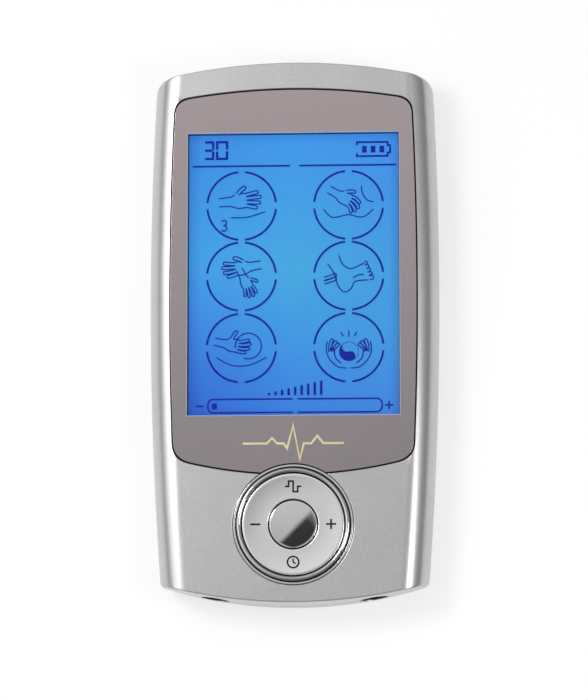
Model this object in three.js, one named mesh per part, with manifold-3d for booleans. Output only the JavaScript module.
// A hand-held muscle stimulator (TENS unit), lying on its back.
// Millimetres. Looking at the display, +X is to the right and +Y is towards the display end.
// +Z comes out of the display, and z = 0 is the flat back.

import * as THREE from "three";
import { mergeVertices } from "three/addons/utils/BufferGeometryUtils.js";
import Module from "manifold-3d";

const wasm = await Module();
wasm.setup();

// ---- Case ----
const CASE_END_Y = 54.5; // half of the length
const CASE_HALF_WIDTH = 29; // at the widest place
const WIDEST_Y = 9;
const SIDE_RADIUS = 770; // the long sides bow out
const SIDE_ANGLE = 0.175; // the part of that circle that covers the whole length
const TOP_END_RADIUS = 116;
const FRONT_BOTTOM_RADIUS = 92;
const REAR_BOTTOM_RADIUS = 87; // the back of the bottom end is a little rounder than its front
const FRONT_Z = 10.2; // the flat front face
const SHOULDER_INSET = 4.7; // the flat face ends this far in from the sides
const SHOULDER_TURN = THREE.MathUtils.degToRad(78); // the shoulder's arc, from the side up to the crease
const SHOULDER_RADIUS = SHOULDER_INSET / (1 - Math.cos(SHOULDER_TURN));
const PARTING_Z = FRONT_Z - SHOULDER_RADIUS * Math.sin(SHOULDER_TURN); // where the two shells meet
const PARTING_GAP = 0.05;
const REAR_EDGE = 0.8; // rounding of the back's end edges
const REAR_WALL = 1.2;
const CEILING_Z = 8.45; // underside of the front wall
const SIDE_WALL = 2.6;
const END_WALL = 1.8;
const CASE_SCREWS = [
  [-21.5, 48],
  [21.5, 48],
  [-21.3, -45],
  [21.3, -45],
];
const BOSS_RADIUS = 2.2;
const CASE_SCREW = {
  head: 1.7,
  headHeight: 1.1,
  shank: 0.8,
  length: 7.4,
  clear: 1.0,
  pilot: 0.9,
  sunk: 0.3,
};
const PILOT_END = 0.3; // every pilot hole stops this far short of the front wall

// ---- Display ----
const WINDOW_INSET = 4.45; // the window's sides follow the case's sides
const WINDOW_TOP = { y: 48.9, radius: 130, corner: 2.8 };
const WINDOW_BOTTOM = { y: -28.9, radius: 91, corner: 3.2 };
const WINDOW_Z = 10.1;
const WINDOW_THICK = 0.85;
const WINDOW_GAP = 0.3;
const TAPE_THICK = 0.15;
const TAPE_INSET = 0.5;
const LEDGE_Z = WINDOW_Z - WINDOW_THICK - TAPE_THICK; // the window's tape sits on this ledge
const DISPLAY_Y = 11.8;
const VIEW = { width: 43.4, length: 58.3 }; // opening in the ledge over the display
const GLASS = { width: 46, length: 62.2, thick: 1.0, z: 7.2 };
const POLARIZER_THICK = 0.2;
const POLARIZER_BORDER = 0.5; // glass left bare round it
const BACKLIGHT = { width: 44, length: 58, y: 1.6 };
const LAYER_GAP = 0.05; // between the display's stack and the board
const HOLDER = { width: 48.6, length: 64.8, wall: 1.1, top: 8.4 };
const ZEBRA = { width: 40, length: 2.0, y: -30 };

// ---- Main board ----
const BOARD_Z = 4.6;
const BOARD_TOP_Z = 5.6;
const BOARD_MIDDLE = { width: 43, length: 83.5, y: 2.75 };
const BOARD_TOP_TONGUE = { width: 35, length: 14, y: 43.5 };
const BOARD_BOTTOM_TONGUE = { width: 23.6, length: 14, y: -44 };
const BOARD_SCREWS = [
  [-14, 47],
  [14, 47],
  [-19, -36.5],
  [19, -36.5],
];
const BOARD_BOSS_RADIUS = 1.9;
const BOARD_SCREW = { head: 1.5, headHeight: 0.9, shank: 0.7, clear: 0.9, pilot: 0.8, length: 3.2 };

// ---- Parts soldered to the back of the board ----
const BOTTOM_ROW_Y = -27.5;
const TOP_ROW_Y = 41.5;
const MICROCONTROLLER = { width: 9, length: 9, height: 1.4, x: -7 };
const OUTPUT_DRIVER = { width: 5, length: 6, height: 1.5, x: 4 };
const CHARGE_CONTROLLER = { width: 3, length: 3, height: 1, x: 7.5 };
const CRYSTAL = { width: 8, length: 3.4, height: 2.4, x: -7 };
const INDUCTOR = { radius: 3, height: 2.6, x: 11, waist: 0.72, flange: 0.25 };
const CAPACITOR = { radius: 2.4, height: 2.9, x: 17.4 };
const BUZZER = { radius: 4.2, height: 2.2, x: -16.4 };
const CAN_EDGE = 0.2;
const CAN_SIDES = 24;
const TRANSFORMER = { size: 7, height: 2.8, windowLength: 4.4, windowDepth: 1, flange: 0.6, x: 6, y: -45 };
const CONNECTOR = { width: 6, length: 4.5, height: 2.8, x: 13.5, y: 41 };
const CONNECTOR_MOUTH = { width: 4.6, depth: 1.5, wall: 0.6, y: -2 };

// ---- Keypad ----
const KEYPAD_Y = -38.7;
const TRIM = {
  outer: 12.05,
  inner: 10.55,
  skirt: 11.5,
  bottom: 8.5,
  seat: 9.25,
  shoulder: 10.2,
  rise: 0.6,
};
const TRIM_RECESS_RADIUS = 12.2;
const TRIM_RECESS_Z = 9.2;
const KEYPAD_HOLE_RADIUS = 11.65;
const WINDOW_NOTCH_RADIUS = 12.35;
const NAV = {
  outer: 10.3,
  hole: 5.15,
  top: 10.4,
  dish: 0.1, // the face falls this much towards its hole
  edge: 0.25,
  bottom: 7.2,
  flange: 11.05,
  flangeTop: 7.9,
  pocket: 5.95,
  pocketTop: 8.1,
};
const PIP_RADIUS = 0.8;
const PIP_Z = 6.15; // underside of every pip
const PIP_PITCH = 7.6; // pips and outer snap domes stand this far from the middle
const ROCKER = { width: 7, length: 18, corner: 2, bottom: 6.35, top: 6.6, hole: 2.2 };
const CAP = {
  radius: 4.9,
  flange: 5.5,
  bottom: 7.1,
  flangeTop: 7.5,
  edge: 10.2,
  edgeRound: 0.2,
  top: 10.5,
  socket: 1.05,
  socketTop: 8.6,
};
const PLUNGER = { foot: 1.6, stud: 1.0, studTop: 8.5 };
const DOME = { radius: 2, rim: 0.08, height: 0.25 };
const MEMBRANE = { radius: 11.8, bottom: 5.62, top: 5.9, hole: 2.3 };

// ---- Sockets ----
const JACK_X = 15.7;
const JACK_Z = 5;
const JACK_HOLE_RADIUS = 2.8; // hole in the case wall
const JACK = {
  width: 6.2,
  height: 5.6,
  front: -50.4,
  back: -40.5,
  collar: 2.5,
  collarEnd: -52.2,
  bore: 1.25,
  boreEnd: -42,
};
const JACK_TAG = { width: 1.6, thick: 1.2, bottom: 4, top: 5.4, gap: 0.05 };
const PORT_Z = 3.3;
const PORT_SLOT = { width: 8.4, height: 3.5, corner: 1.2, depth: 5 };
const PORT = { width: 7.4, height: 2.5, wall: 0.3, back: 48, mouth: 53.4 };
const TONGUE = { width: 4, length: 3, thick: 0.6, base: 1.4, play: 0.05 };

// ---- Power and the back ----
const BATTERY = { width: 36, length: 50, thick: 2.75, corner: 1.5, z: 1.5, y: 6 };
const BATTERY_PAD = { width: 30, length: 42, gap: 0.02 };
const BATTERY_RIB = { x: 19, thick: 1, length: 42, top: 3.2 };
const PLATE = { width: 34, length: 26, corner: 1, y: 28, thick: 0.2, recess: 0.25, border: 0.3 };
const LEAD_RADIUS = 0.5;

// ---- Smoothness ----
const END_STEPS = 10;
const SIDE_STEPS = 7;
const ROUND_STEPS = 5;
const RING_SIDES = 40;
const SMALL_SIDES = 16;
const ROOT = 0.2; // ribs and bosses start this deep in the wall that carries them
const OVERSHOOT = 1; // cutters run past the faces that they cut

// ---- Solid helpers ----

function solidOf(geometry) {
  const bare = geometry.clone();
  bare.deleteAttribute("normal");
  bare.deleteAttribute("uv");
  const merged = mergeVertices(bare, 1e-4);
  const vertProperties = merged.attributes.position.array;
  const triVerts = new Uint32Array(merged.index.array);
  return new wasm.Manifold(new wasm.Mesh({ numProp: 3, vertProperties, triVerts }));
}

function geometryOf(solid) {
  const made = solid.getMesh();
  const geometry = new THREE.BufferGeometry();
  geometry.setAttribute("position", new THREE.BufferAttribute(made.vertProperties, 3));
  geometry.setIndex(new THREE.BufferAttribute(made.triVerts, 1));
  const flat = geometry.toNonIndexed();
  flat.computeVertexNormals();
  return flat;
}

function join(first, ...others) {
  return others.reduce((sum, geometry) => sum.add(solidOf(geometry)), first);
}

function cut(first, ...cutters) {
  return cutters.reduce((rest, geometry) => rest.subtract(solidOf(geometry)), first);
}

// A box by its middle in x and y, and its bottom and top in z.
function block(width, length, bottom, top, x = 0, y = 0) {
  return new THREE.BoxGeometry(width, length, top - bottom).translate(x, y, (bottom + top) / 2);
}

// An upright cylinder.
function post(radius, bottom, top, x = 0, y = 0, sides = SMALL_SIDES) {
  const cylinder = new THREE.CylinderGeometry(radius, radius, top - bottom, sides);
  return cylinder.rotateX(Math.PI / 2).translate(x, y, (bottom + top) / 2);
}

// A cylinder that lies along Y.
function bar(radius, from, to, x, z, sides = SMALL_SIDES) {
  const cylinder = new THREE.CylinderGeometry(radius, radius, to - from, sides);
  return cylinder.translate(x, (from + to) / 2, z);
}

// A flat piece cut to an outline.
function slab(outline, bottom, top) {
  const options = { depth: top - bottom, bevelEnabled: false, curveSegments: 4 };
  return new THREE.ExtrudeGeometry(outline, options).translate(0, 0, bottom);
}

// A turned piece. The profile is a list of [radius, z], upwards on its outside.
function turned(profile, sides = RING_SIDES) {
  const points = profile.map(([radius, z]) => new THREE.Vector2(radius, z));
  return new THREE.LatheGeometry(points, sides).rotateX(Math.PI / 2);
}

function turnedRing(profile, sides = RING_SIDES) {
  return turned([...profile, profile[0]], sides);
}

function roundedRectangle(width, length, radius) {
  const x = width / 2;
  const y = length / 2;
  const shape = new THREE.Shape();
  shape.moveTo(-x + radius, -y);
  shape.lineTo(x - radius, -y);
  shape.absarc(x - radius, -y + radius, radius, -Math.PI / 2, 0);
  shape.absarc(x - radius, y - radius, radius, 0, Math.PI / 2);
  shape.absarc(-x + radius, y - radius, radius, Math.PI / 2, Math.PI);
  shape.absarc(-x + radius, -y + radius, radius, Math.PI, Math.PI * 1.5);
  return shape;
}

// ---- Outlines ----

function sag(radius, distance) {
  return radius - Math.sqrt(radius ** 2 - distance ** 2);
}

// How far the bowed side is from the middle, moved in by inset.
function sideX(y, inset) {
  return CASE_HALF_WIDTH - inset - sag(SIDE_RADIUS, y - WIDEST_Y);
}

function endY(end, x) {
  return end.y - Math.sign(end.y) * sag(end.radius, x);
}

// Where a bowed end would meet the bowed side with no rounding.
function cornerOf(end, inset) {
  let y = end.y;
  for (let pass = 0; pass < 4; pass += 1) y = endY(end, sideX(y, inset));
  return { x: sideX(y, inset), y };
}

// An outline with two bowed ends, two bowed sides and rounded corners.
function barrelOutline(inset, bottom, top) {
  const low = cornerOf(bottom, inset);
  const high = cornerOf(top, inset);
  const lowX = low.x - bottom.corner;
  const highX = high.x - top.corner;
  const lowY = low.y + bottom.corner;
  const highY = high.y - top.corner;
  const shape = new THREE.Shape();
  const trace = (steps, from, to, pointAt) => {
    for (let step = 1; step <= steps; step += 1) {
      const [x, y] = pointAt(THREE.MathUtils.lerp(from, to, step / steps));
      shape.lineTo(x, y);
    }
  };
  shape.moveTo(-lowX, endY(bottom, lowX));
  trace(END_STEPS, -lowX, lowX, (x) => [x, endY(bottom, x)]);
  shape.quadraticCurveTo(low.x, low.y, sideX(lowY, inset), lowY);
  trace(SIDE_STEPS, lowY, highY, (y) => [sideX(y, inset), y]);
  shape.quadraticCurveTo(high.x, high.y, highX, endY(top, highX));
  trace(END_STEPS, highX, -highX, (x) => [x, endY(top, x)]);
  shape.quadraticCurveTo(-high.x, high.y, -sideX(highY, inset), highY);
  trace(SIDE_STEPS, highY, lowY, (y) => [-sideX(y, inset), y]);
  shape.quadraticCurveTo(-low.x, low.y, -lowX, endY(bottom, lowX));
  return shape;
}

function caseOutline(bottomRadius, bottomCorner, sideInset = 0, endInset = 0) {
  const bottom = { y: -CASE_END_Y + endInset, radius: bottomRadius, corner: bottomCorner };
  const top = { y: CASE_END_Y - endInset, radius: TOP_END_RADIUS, corner: 3 };
  return barrelOutline(sideInset, bottom, top);
}

function windowOutline(grow) {
  const top = { ...WINDOW_TOP, y: WINDOW_TOP.y + grow };
  const bottom = { ...WINDOW_BOTTOM, y: WINDOW_BOTTOM.y - grow };
  return barrelOutline(WINDOW_INSET - grow, bottom, top);
}

// ---- Case envelope ----

// The line of the right-hand side, seen from the front.
class SidePath extends THREE.Curve {
  constructor(widestY) {
    super();
    this.widestY = widestY;
  }

  getPoint(t, target = new THREE.Vector3()) {
    const angle = (t - 0.5) * SIDE_ANGLE;
    const x = CASE_HALF_WIDTH - SIDE_RADIUS + SIDE_RADIUS * Math.cos(angle);
    return target.set(x, this.widestY + SIDE_RADIUS * Math.sin(angle), 0);
  }
}

// Everything on the inner side of one bowed, rounded long side, from the back to the front face.
// In the section, x is minus the height and y is the distance in from the side.
function roundedSide(widestY) {
  const far = 2.1 * CASE_HALF_WIDTH;
  const section = new THREE.Shape();
  section.moveTo(0, far);
  for (let step = 0; step <= ROUND_STEPS; step += 1) {
    const angle = (step / ROUND_STEPS) * (Math.PI / 2);
    section.lineTo(-PARTING_Z * (1 - Math.cos(angle)), PARTING_Z * (1 - Math.sin(angle)));
  }
  for (let step = 1; step <= ROUND_STEPS; step += 1) {
    const angle = (step / ROUND_STEPS) * SHOULDER_TURN;
    const height = PARTING_Z + SHOULDER_RADIUS * Math.sin(angle);
    section.lineTo(-height, SHOULDER_RADIUS * (1 - Math.cos(angle)));
  }
  section.lineTo(-FRONT_Z, far);
  return new THREE.ExtrudeGeometry(section, { steps: SIDE_STEPS, extrudePath: new SidePath(widestY) });
}

function caseEnvelope() {
  const right = roundedSide(WIDEST_Y);
  const left = roundedSide(-WIDEST_Y).rotateZ(Math.PI);
  return solidOf(right).intersect(solidOf(left));
}

function jackHole(x) {
  return bar(JACK_HOLE_RADIUS, -CASE_END_Y - OVERSHOOT, JACK.front + 0.3, x, JACK_Z, 24);
}

function portSlot() {
  const outline = roundedRectangle(PORT_SLOT.width, PORT_SLOT.height, PORT_SLOT.corner);
  const slot = slab(outline, 0, PORT_SLOT.depth).rotateX(Math.PI / 2);
  return slot.translate(0, CASE_END_Y + OVERSHOOT, PORT_Z);
}

function wallOpenings() {
  return [jackHole(-JACK_X), jackHole(JACK_X), portSlot()];
}

function frontHousing() {
  const bottom = PARTING_Z + PARTING_GAP;
  const top = FRONT_Z + OVERSHOOT;
  const outside = slab(caseOutline(FRONT_BOTTOM_RADIUS, 1.2), bottom, top);
  const inside = caseOutline(FRONT_BOTTOM_RADIUS, 2, SIDE_WALL, END_WALL);
  const shell = cut(
    caseEnvelope().intersect(solidOf(outside)),
    slab(inside, bottom - OVERSHOOT, CEILING_Z),
    slab(windowOutline(WINDOW_GAP), LEDGE_Z, top),
    block(VIEW.width, VIEW.length, CEILING_Z - OVERSHOOT, top, 0, DISPLAY_Y),
    post(TRIM_RECESS_RADIUS, TRIM_RECESS_Z, top, 0, KEYPAD_Y, RING_SIDES),
    post(KEYPAD_HOLE_RADIUS, CEILING_Z - OVERSHOOT, top, 0, KEYPAD_Y, RING_SIDES),
    ...wallOpenings(),
  );
  const rootZ = CEILING_Z + ROOT;
  const pilotTop = CEILING_Z - PILOT_END;
  const bosses = [
    ...CASE_SCREWS.map(([x, y]) => post(BOSS_RADIUS, bottom, rootZ, x, y)),
    ...BOARD_SCREWS.map(([x, y]) => post(BOARD_BOSS_RADIUS, BOARD_TOP_Z, rootZ, x, y)),
  ];
  const pilots = [
    ...CASE_SCREWS.map(([x, y]) => post(CASE_SCREW.pilot, bottom - OVERSHOOT, pilotTop, x, y)),
    ...BOARD_SCREWS.map(([x, y]) => post(BOARD_SCREW.pilot, BOARD_Z, pilotTop, x, y)),
  ];
  return cut(join(shell, ...bosses), ...pilots);
}

function rearHousing() {
  const outline = caseOutline(REAR_BOTTOM_RADIUS, 3);
  const outside = new THREE.ExtrudeGeometry(outline, {
    depth: FRONT_Z,
    curveSegments: 4,
    bevelThickness: REAR_EDGE,
    bevelSize: REAR_EDGE,
    bevelOffset: -REAR_EDGE,
    bevelSegments: 2,
  });
  outside.translate(0, 0, REAR_EDGE);
  const inside = caseOutline(REAR_BOTTOM_RADIUS, 2, SIDE_WALL, END_WALL);
  const above = block(3 * CASE_HALF_WIDTH, 3 * CASE_END_Y, PARTING_Z, FRONT_Z + OVERSHOOT);
  const shell = cut(
    caseEnvelope().intersect(solidOf(outside)),
    above,
    slab(inside, REAR_WALL, FRONT_Z),
    block(PLATE.width, PLATE.length, -OVERSHOOT, PLATE.recess, 0, PLATE.y),
    ...wallOpenings(),
  );
  const rootZ = REAR_WALL - ROOT;
  const ribs = [-1, 1].map((side) =>
    block(BATTERY_RIB.thick, BATTERY_RIB.length, rootZ, BATTERY_RIB.top, side * BATTERY_RIB.x, BATTERY.y),
  );
  const bosses = CASE_SCREWS.map(([x, y]) => post(BOSS_RADIUS, rootZ, PARTING_Z, x, y));
  const headZ = CASE_SCREW.sunk + CASE_SCREW.headHeight;
  const holes = CASE_SCREWS.flatMap(([x, y]) => [
    post(CASE_SCREW.clear, -OVERSHOOT, PARTING_Z + OVERSHOOT, x, y),
    post(CASE_SCREW.head + 0.2, -OVERSHOOT, headZ, x, y),
  ]);
  return cut(join(shell, ...ribs, ...bosses), ...holes);
}

// A screw that points up, with a cross slot in its head. z = 0 is the face of the head.
function screw({ head, headHeight, shank, length }) {
  const body = join(solidOf(post(head, 0, headHeight)), post(shank, headHeight - 0.1, length, 0, 0, 12));
  const slotWidth = head * 0.28;
  const slotLength = head * 1.2;
  const slotDepth = headHeight * 0.5;
  return cut(
    body,
    block(slotLength, slotWidth, -OVERSHOOT, slotDepth),
    block(slotWidth, slotLength, -OVERSHOOT, slotDepth),
  );
}

// ---- Window, in the case's own frame ----

function displayWindow() {
  const plate = solidOf(slab(windowOutline(0), WINDOW_Z - WINDOW_THICK, WINDOW_Z));
  const notch = post(WINDOW_NOTCH_RADIUS, 0, FRONT_Z + OVERSHOOT, 0, KEYPAD_Y, RING_SIDES);
  return cut(plate, notch);
}

function windowTape() {
  const sheet = solidOf(slab(windowOutline(-TAPE_INSET), LEDGE_Z, LEDGE_Z + TAPE_THICK));
  return cut(
    sheet,
    block(VIEW.width + 1, VIEW.length + 1, 0, FRONT_Z, 0, DISPLAY_Y),
    post(WINDOW_NOTCH_RADIUS + TAPE_INSET, 0, FRONT_Z, 0, KEYPAD_Y, RING_SIDES),
  );
}

// ---- Display pieces, in a group whose origin is the middle of the display ----

function lcdGlass() {
  return solidOf(block(GLASS.width, GLASS.length, GLASS.z, GLASS.z + GLASS.thick));
}

function lcdPolarizer() {
  const bottom = GLASS.z + GLASS.thick;
  const width = GLASS.width - 2 * POLARIZER_BORDER;
  const length = GLASS.length - 2 * POLARIZER_BORDER;
  return solidOf(block(width, length, bottom, bottom + POLARIZER_THICK));
}

function lcdBacklight() {
  return solidOf(block(BACKLIGHT.width, BACKLIGHT.length, BOARD_TOP_Z + LAYER_GAP, GLASS.z, 0, BACKLIGHT.y));
}

function lcdHolder() {
  const { width, length, wall, top } = HOLDER;
  const frame = solidOf(block(width, length, BOARD_TOP_Z + LAYER_GAP, top));
  return cut(frame, block(width - 2 * wall, length - 2 * wall, 0, FRONT_Z));
}

function zebraStrip() {
  return solidOf(block(ZEBRA.width, ZEBRA.length, BOARD_TOP_Z, GLASS.z, 0, ZEBRA.y));
}

// ---- Keypad pieces, in a group whose origin is the middle of the keypad ----

function trimRing() {
  const middle = (TRIM.outer + TRIM.inner) / 2;
  const half = (TRIM.outer - TRIM.inner) / 2;
  const crown = [];
  for (let step = 0; step <= ROUND_STEPS; step += 1) {
    const angle = (step / ROUND_STEPS) * Math.PI;
    crown.push([middle + half * Math.cos(angle), TRIM.shoulder + TRIM.rise * Math.sin(angle)]);
  }
  return solidOf(
    turnedRing([
      [TRIM.inner, TRIM.bottom],
      [TRIM.skirt, TRIM.bottom],
      [TRIM.skirt, TRIM.seat],
      [TRIM.outer, TRIM.seat],
      ...crown,
    ]),
  );
}

function navRing() {
  const ring = solidOf(
    turnedRing([
      [NAV.pocket, NAV.bottom],
      [NAV.flange, NAV.bottom],
      [NAV.flange, NAV.flangeTop],
      [NAV.outer, NAV.flangeTop],
      [NAV.outer, NAV.top - NAV.edge],
      [NAV.outer - NAV.edge, NAV.top],
      [NAV.hole + NAV.edge, NAV.top - NAV.dish],
      [NAV.hole, NAV.top - NAV.dish - NAV.edge],
      [NAV.hole, NAV.pocketTop],
      [NAV.pocket, NAV.pocketTop],
    ]),
  );
  const legs = [-1, 1].map((side) => post(PIP_RADIUS, PIP_Z, NAV.bottom + ROOT, side * PIP_PITCH, 0));
  return join(ring, ...legs);
}

function navRockerBar() {
  const outline = roundedRectangle(ROCKER.width, ROCKER.length, ROCKER.corner);
  const strip = solidOf(slab(outline, ROCKER.bottom, ROCKER.top));
  const pips = [-1, 1].map((side) => post(PIP_RADIUS, PIP_Z, ROCKER.top - 0.1, 0, side * PIP_PITCH));
  return cut(join(strip, ...pips), post(ROCKER.hole, 0, FRONT_Z));
}

function buttonCap() {
  const profile = [
    [0, CAP.socketTop],
    [CAP.socket, CAP.socketTop],
    [CAP.socket, CAP.bottom],
    [CAP.flange, CAP.bottom],
    [CAP.flange, CAP.flangeTop],
    [CAP.radius, CAP.flangeTop],
    [CAP.radius, CAP.edge - CAP.edgeRound],
    [CAP.radius - CAP.edgeRound, CAP.edge],
    [CAP.radius * 0.6, CAP.edge + (CAP.top - CAP.edge) * 0.7],
    [0, CAP.top],
  ];
  return solidOf(turned(profile));
}

function buttonPlunger() {
  const profile = [
    [0, PIP_Z],
    [PLUNGER.foot, PIP_Z],
    [PLUNGER.foot, CAP.bottom],
    [PLUNGER.stud, CAP.bottom],
    [PLUNGER.stud, PLUNGER.studTop],
    [0, PLUNGER.studTop],
  ];
  return solidOf(turned(profile, SMALL_SIDES));
}

// A snap dome at its pressed height, z = 0 on the board.
function snapDome() {
  const profile = [
    [0, 0],
    [DOME.radius, 0],
    [DOME.radius, DOME.rim],
    [DOME.radius * 0.7, DOME.height * 0.75],
    [0, DOME.height],
  ];
  return solidOf(turned(profile, SMALL_SIDES));
}

function domePlaces() {
  return {
    centre: [0, 0],
    mode: [0, PIP_PITCH],
    timer: [0, -PIP_PITCH],
    minus: [-PIP_PITCH, 0],
    plus: [PIP_PITCH, 0],
  };
}

function keypadMembrane() {
  const sheet = solidOf(post(MEMBRANE.radius, MEMBRANE.bottom, MEMBRANE.top, 0, 0, RING_SIDES));
  const holes = Object.values(domePlaces()).map(([x, y]) => post(MEMBRANE.hole, 0, FRONT_Z, x, y));
  return cut(sheet, ...holes);
}

// ---- Board ----

function mainBoard() {
  const area = ({ width, length, y }) => block(width, length, BOARD_Z, BOARD_TOP_Z, 0, y);
  const sheet = join(solidOf(area(BOARD_MIDDLE)), area(BOARD_TOP_TONGUE), area(BOARD_BOTTOM_TONGUE));
  const holes = BOARD_SCREWS.map(([x, y]) => post(BOARD_SCREW.clear, BOARD_Z - OVERSHOOT, FRONT_Z, x, y));
  return cut(sheet, ...holes);
}

// Parts soldered to the back of the board hang down from z = 0.

function chip({ width, length, height }) {
  return solidOf(slab(roundedRectangle(width, length, 0.3), -height, 0));
}

function can({ radius, height }) {
  const profile = [
    [0, -height],
    [radius - CAN_EDGE, -height],
    [radius, CAN_EDGE - height],
    [radius, 0],
    [0, 0],
  ];
  return solidOf(turned(profile, CAN_SIDES));
}

// A bobbin core with a narrower waist for the winding.
function drumCore() {
  const { radius, height } = INDUCTOR;
  const waist = radius * INDUCTOR.waist;
  const flange = height * INDUCTOR.flange;
  const profile = [
    [0, -height],
    [radius, -height],
    [radius, flange - height],
    [waist, flange - height],
    [waist, -flange],
    [radius, -flange],
    [radius, 0],
    [0, 0],
  ];
  return solidOf(turned(profile, CAN_SIDES));
}

// A core with a winding window on both of its long sides.
function transformer() {
  const { size, height, windowLength, windowDepth, flange } = TRANSFORMER;
  const core = solidOf(block(size, size, -height, 0));
  const windows = [-1, 1].map((side) =>
    block(windowDepth * 2, windowLength, flange - height, -flange, side * (size / 2)),
  );
  return cut(core, ...windows);
}

// ---- Sockets ----

function outputJack(x) {
  const bottom = JACK_Z - JACK.height / 2;
  const length = JACK.back - JACK.front;
  const middle = (JACK.back + JACK.front) / 2;
  const body = solidOf(block(JACK.width, length, bottom, bottom + JACK.height, x, middle));
  const collar = bar(JACK.collar, JACK.collarEnd, JACK.front + 0.2, x, JACK_Z, 24);
  const bore = bar(JACK.bore, JACK.collarEnd - OVERSHOOT, JACK.boreEnd, x, JACK_Z);
  return cut(join(body, collar), bore);
}

// The solder tag between a socket and the board.
function jackTerminal(x) {
  const { width, thick, bottom, top, gap } = JACK_TAG;
  return solidOf(block(width, thick, bottom, top, x, JACK.back + gap + thick / 2));
}

function chargingShell() {
  const { width, height, wall, back, mouth } = PORT;
  const middle = (back + mouth) / 2;
  const low = PORT_Z - height / 2;
  const high = PORT_Z + height / 2;
  const box = solidOf(block(width, mouth - back, low, high, 0, middle));
  return cut(box, block(width - 2 * wall, mouth - back, low + wall, high - wall, 0, middle + wall));
}

function chargingTongue() {
  const { width, height, wall, back } = PORT;
  const edge = wall + TONGUE.play;
  const low = PORT_Z - height / 2 + edge;
  const high = PORT_Z + height / 2 - edge;
  const start = back + edge;
  const base = solidOf(block(width - 2 * edge, TONGUE.base, low, high, 0, start + TONGUE.base / 2));
  const lift = 0.2; // the tongue stands above the middle of the mouth
  const bottom = PORT_Z + lift - TONGUE.thick / 2;
  const middle = start + TONGUE.base - ROOT + TONGUE.length / 2;
  return join(base, block(TONGUE.width, TONGUE.length, bottom, bottom + TONGUE.thick, 0, middle));
}

// ---- Battery ----

function batteryCell() {
  const outline = roundedRectangle(BATTERY.width, BATTERY.length, BATTERY.corner);
  return solidOf(slab(outline, BATTERY.z, BATTERY.z + BATTERY.thick));
}

function batteryPad() {
  const { width, length, gap } = BATTERY_PAD;
  return solidOf(block(width, length, REAR_WALL + gap, BATTERY.z - gap));
}

function batteryConnector() {
  const { width, length, height } = CONNECTOR;
  const { width: mouth, depth, wall, y } = CONNECTOR_MOUTH;
  return cut(solidOf(block(width, length, -height, 0)), block(mouth, depth, wall - height, -wall, 0, y));
}

function batteryLead(startX, endX) {
  const battery = BATTERY.y + BATTERY.length / 2;
  const path = new THREE.CatmullRomCurve3([
    new THREE.Vector3(startX, battery + 0.1, 3.2),
    new THREE.Vector3(startX, battery + 2.2, 3.1),
    new THREE.Vector3(endX, battery + 5.2, 2.9),
    new THREE.Vector3(endX, battery + 7.5, 2.9),
  ]);
  const section = new THREE.Shape();
  section.absarc(0, 0, LEAD_RADIUS, 0, Math.PI * 2);
  return solidOf(new THREE.ExtrudeGeometry(section, { steps: 14, curveSegments: 4, extrudePath: path }));
}

function ratingPlate() {
  const { width, length, corner, border, thick, recess } = PLATE;
  const outline = roundedRectangle(width - 2 * border, length - 2 * border, corner);
  return solidOf(slab(outline, recess - thick, recess));
}

// ---- Materials ----

function material(color, roughness, metalness) {
  return new THREE.MeshStandardMaterial({ color, roughness, metalness });
}

const silverPaint = () => material(0xbebbbf, 0.35, 0.6);
const mirrorTint = () => material(0x938c8f, 0.12, 0.7);
const blueGlass = () => material(0x3f93e2, 0.2, 0);
const brightChrome = () => material(0xd8d8da, 0.06, 1);
const satinSilver = () => material(0xc2bfc3, 0.3, 0.7);
const blackPlastic = () => material(0x151517, 0.5, 0);
const whitePlastic = () => material(0xe6e6e2, 0.5, 0);
const boardGreen = () => material(0x1f6a3a, 0.45, 0);
const ferrite = () => material(0x35353a, 0.7, 0.2);
const steel = () => material(0xa9a9ac, 0.3, 1);
const foil = () => material(0xb9bcc0, 0.4, 0.8);
const silicone = () => material(0x8f9296, 0.75, 0);
const redLead = () => material(0xb5221c, 0.5, 0);
const paper = () => material(0xc9cacc, 0.6, 0.1);

// ---- Assembly ----

function named(name, solid, finish, x = 0, y = 0, z = 0) {
  const mesh = new THREE.Mesh(geometryOf(solid), finish);
  mesh.name = name;
  mesh.position.set(x, y, z);
  return mesh;
}

function caseGroup() {
  const group = new THREE.Group();
  group.add(named("front_housing", frontHousing(), silverPaint()));
  group.add(named("rear_housing", rearHousing(), silverPaint()));
  group.add(named("rating_plate", ratingPlate(), paper(), 0, PLATE.y));
  CASE_SCREWS.forEach(([x, y], index) => {
    group.add(named(`case_screw_${index + 1}`, screw(CASE_SCREW), steel(), x, y, CASE_SCREW.sunk));
  });
  return group;
}

function windowGroup() {
  const group = new THREE.Group();
  group.add(named("display_window", displayWindow(), mirrorTint()));
  group.add(named("window_adhesive", windowTape(), blackPlastic()));
  return group;
}

function displayGroup() {
  const group = new THREE.Group();
  group.position.y = DISPLAY_Y;
  group.add(named("lcd_glass", lcdGlass(), blueGlass()));
  group.add(named("lcd_polarizer", lcdPolarizer(), blueGlass()));
  group.add(named("lcd_backlight", lcdBacklight(), whitePlastic()));
  group.add(named("lcd_holder", lcdHolder(), blackPlastic()));
  group.add(named("lcd_zebra_strip", zebraStrip(), silicone()));
  return group;
}

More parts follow.
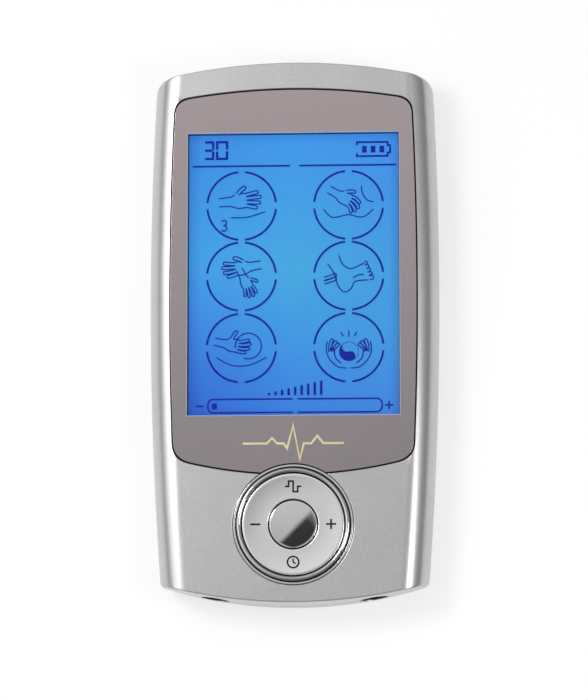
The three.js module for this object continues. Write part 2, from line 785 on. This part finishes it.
function keypadGroup() {
  const group = new THREE.Group();
  group.position.y = KEYPAD_Y;
  group.add(named("keypad_trim_ring", trimRing(), brightChrome()));
  group.add(named("nav_ring", navRing(), satinSilver()));
  group.add(named("nav_rocker_bar", navRockerBar(), blackPlastic()));
  group.add(named("centre_button_cap", buttonCap(), brightChrome()));
  group.add(named("centre_button_plunger", buttonPlunger(), blackPlastic()));
  group.add(named("keypad_membrane", keypadMembrane(), silicone()));
  for (const [place, [x, y]] of Object.entries(domePlaces())) {
    group.add(named(`snap_dome_${place}`, snapDome(), steel(), x, y, BOARD_TOP_Z));
  }
  return group;
}

function boardGroup() {
  const group = new THREE.Group();
  group.add(named("main_pcb", mainBoard(), boardGreen()));
  BOARD_SCREWS.forEach(([x, y], index) => {
    const z = BOARD_Z - BOARD_SCREW.headHeight;
    group.add(named(`board_screw_${index + 1}`, screw(BOARD_SCREW), steel(), x, y, z));
  });
  const soldered = (name, solid, finish, x, y) => group.add(named(name, solid, finish, x, y, BOARD_Z));
  soldered("microcontroller", chip(MICROCONTROLLER), blackPlastic(), MICROCONTROLLER.x, BOTTOM_ROW_Y);
  soldered("output_driver", chip(OUTPUT_DRIVER), blackPlastic(), OUTPUT_DRIVER.x, BOTTOM_ROW_Y);
  soldered("boost_inductor", drumCore(), ferrite(), INDUCTOR.x, BOTTOM_ROW_Y);
  soldered("storage_capacitor", can(CAPACITOR), foil(), CAPACITOR.x, BOTTOM_ROW_Y);
  soldered("buzzer", can(BUZZER), blackPlastic(), BUZZER.x, BOTTOM_ROW_Y);
  soldered("charge_controller", chip(CHARGE_CONTROLLER), blackPlastic(), CHARGE_CONTROLLER.x, TOP_ROW_Y);
  soldered("crystal", chip(CRYSTAL), steel(), CRYSTAL.x, TOP_ROW_Y);
  soldered("pulse_transformer_left", transformer(), ferrite(), -TRANSFORMER.x, TRANSFORMER.y);
  soldered("pulse_transformer_right", transformer(), ferrite(), TRANSFORMER.x, TRANSFORMER.y);
  soldered("battery_connector", batteryConnector(), whitePlastic(), CONNECTOR.x, CONNECTOR.y);
  return group;
}

function socketGroup() {
  const group = new THREE.Group();
  for (const [side, x] of [["left", -JACK_X], ["right", JACK_X]]) {
    group.add(named(`output_jack_${side}`, outputJack(x), blackPlastic()));
    group.add(named(`jack_terminal_${side}`, jackTerminal(x), steel()));
  }
  group.add(named("charging_socket", chargingShell(), steel()));
  group.add(named("charging_tongue", chargingTongue(), blackPlastic()));
  return group;
}

function powerGroup() {
  const group = new THREE.Group();
  group.add(named("battery_cell", batteryCell(), foil(), 0, BATTERY.y));
  group.add(named("battery_pad", batteryPad(), silicone(), 0, BATTERY.y));
  group.add(named("battery_lead_positive", batteryLead(11, 14.8), redLead()));
  group.add(named("battery_lead_negative", batteryLead(7.6, 12.2), blackPlastic()));
  return group;
}

const stimulator = new THREE.Group();
stimulator.add(
  caseGroup(),
  windowGroup(),
  displayGroup(),
  keypadGroup(),
  boardGroup(),
  socketGroup(),
  powerGroup(),
);

export default stimulator;
